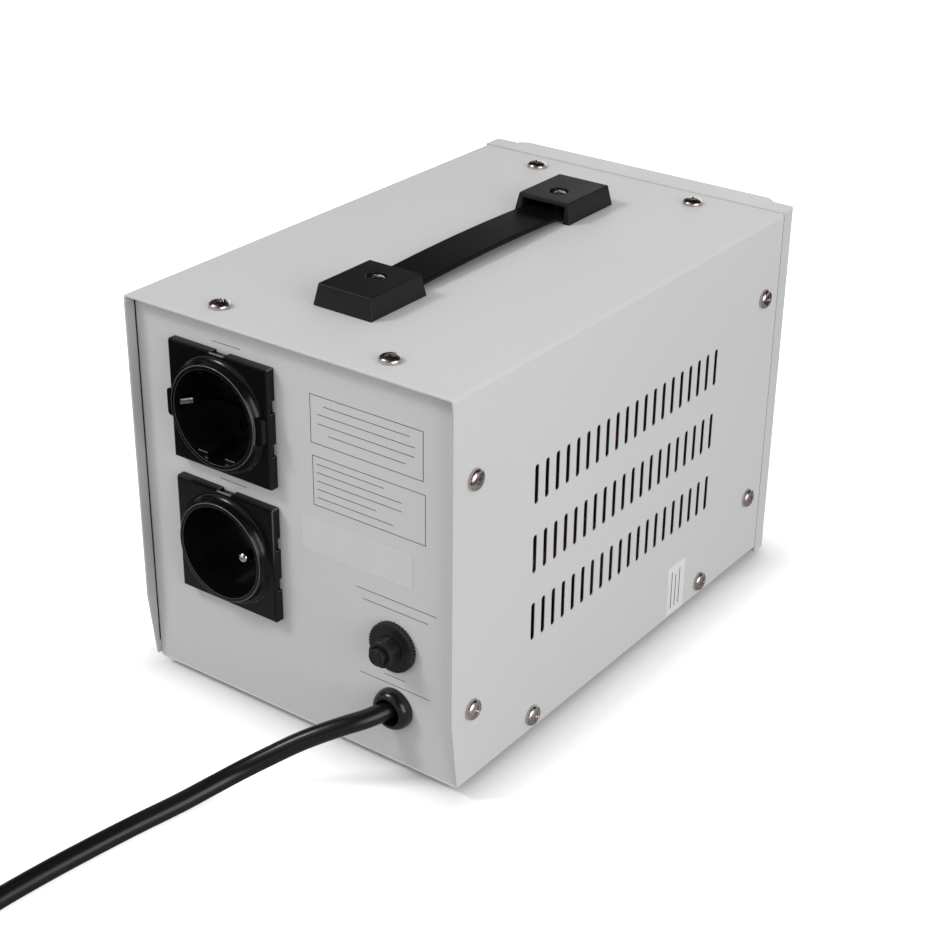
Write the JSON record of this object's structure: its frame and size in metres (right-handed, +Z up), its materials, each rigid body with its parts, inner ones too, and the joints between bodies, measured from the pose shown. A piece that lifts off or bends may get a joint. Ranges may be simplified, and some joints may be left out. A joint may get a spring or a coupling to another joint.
{
  "type": "voltage stabilizer",
  "caption": "Portable relay voltage stabilizer: slotted sheet-metal case with strap handle, round mains sockets, reset button and mains lead at the rear, display bezel in front.",
  "frame": {"origin": "on the ground, under the middle of the box that holds the object without its lead", "axes": "+Z up, +Y out of the rear panel with the sockets, +X to the right as seen from the front bezel"},
  "size_m": [0.2199, 0.502, 0.1785],
  "materials": {
    "case_paint": "light warm grey powder coat, fine texture, matte",
    "base_paint": "light grey powder coat on the rear panel and base",
    "inner_steel": "bare galvanised sheet",
    "bezel_plastic": "light grey moulded plastic",
    "window": "dark smoked pane",
    "rubber_foot": "black rubber",
    "chrome_screw": "bright plated, slightly pink reflections",
    "zinc_steel": "zinc plated steel",
    "black_plastic": "black moulded plastic, fine grain",
    "strap_plastic": "black soft plastic strap",
    "socket_plastic": "black socket plastic, satin face and glossy well",
    "nickel": "nickel plated spring strip and pin",
    "brass_contact": "bright brass",
    "gloss_black": "glossy black nylon",
    "cord_pvc": "black PVC sheath, satin",
    "sticker": "pale silver grey film",
    "core_steel": "wound core strip",
    "winding_copper": "enamelled copper winding under varnish",
    "board_green": "green solder mask",
    "nylon_white": "natural nylon",
    "relay_blue": "blue relay case",
    "can_sleeve": "dark sleeve",
    "block_green": "green terminal block",
    "digit_dark": "dark red digit face",
    "lamp_clear": "pale translucent lens",
    "rocker_black": "black rocker",
    "button_red": "red button",
    "wire_red": "red PVC insulation",
    "wire_blue": "blue PVC insulation",
    "wire_green": "green and yellow PVC insulation"
  },
  "bodies": {
    "case": {"cover": "case_paint", "chassis": "base_paint", "front_plate": "inner_steel", "front_bezel": "bezel_plastic", "display_window": "window", "feet": "rubber_foot", "top_screws": "chrome_screw", "side_screws": "chrome_screw", "rear_handle_cap": "black_plastic", "front_handle_cap": "black_plastic", "handle_strap": "strap_plastic", "handle_screws": "chrome_screw", "handle_nuts": "zinc_steel", "clip_socket_body": "socket_plastic", "clip_socket_earth_clips": "nickel", "clip_socket_contacts": "brass_contact", "pin_socket_body": "socket_plastic", "pin_socket_earth_pin": "nickel", "pin_socket_contacts": "brass_contact", "breaker_body": "black_plastic", "breaker_nut": "black_plastic", "breaker_blades": "brass_contact", "cord_bush": "gloss_black", "mains_cord": "cord_pvc", "cord_coil": "cord_pvc", "plug_body": "cord_pvc", "plug_pins": "nickel", "plug_earth_contacts": "brass_contact", "rear_sticker": "sticker", "side_sticker": "sticker", "transformer_core": "core_steel", "transformer_winding": "winding_copper", "transformer_pads": "rubber_foot", "clamp_stud": "zinc_steel", "clamp_dish": "zinc_steel", "clamp_washer": "zinc_steel", "clamp_nut": "zinc_steel", "control_board": "board_green", "board_standoffs": "nylon_white", "board_screws": "zinc_steel", "relays": "relay_blue", "capacitors": "can_sleeve", "terminal_block": "block_green", "display_board": "board_green", "display_digits": "digit_dark", "indicator_lamps": "lamp_clear", "bezel_screws": "zinc_steel", "switch_body": "black_plastic", "switch_blades": "brass_contact", "delay_switch": "black_plastic", "earth_stud": "brass_contact", "earth_nut": "brass_contact", "live_wire": "wire_red", "neutral_wire": "wire_blue", "earth_wire": "wire_green", "output_wire": "wire_red"},
    "reset": {"reset_button": "black_plastic"},
    "rocker": {"power_rocker": "rocker_black"},
    "delay": {"delay_button": "button_red"}
  },
  "joints": [
    {"name": "reset_slide", "type": "slide", "parent": "case", "child": "reset", "axis": [0, 1, 0], "range_m": [0, 0.003]},
    {"name": "rocker_hinge", "type": "hinge", "parent": "case", "child": "rocker", "pos_m": [-0.036, -0.12433, 0.05593], "axis": [1, 0, 0], "range_deg": [-20, 0]},
    {"name": "delay_slide", "type": "slide", "parent": "case", "child": "delay", "axis": [0, 1, 0], "range_m": [0, 0.0025], "stiffness_N_per_m": 200}
  ]
}
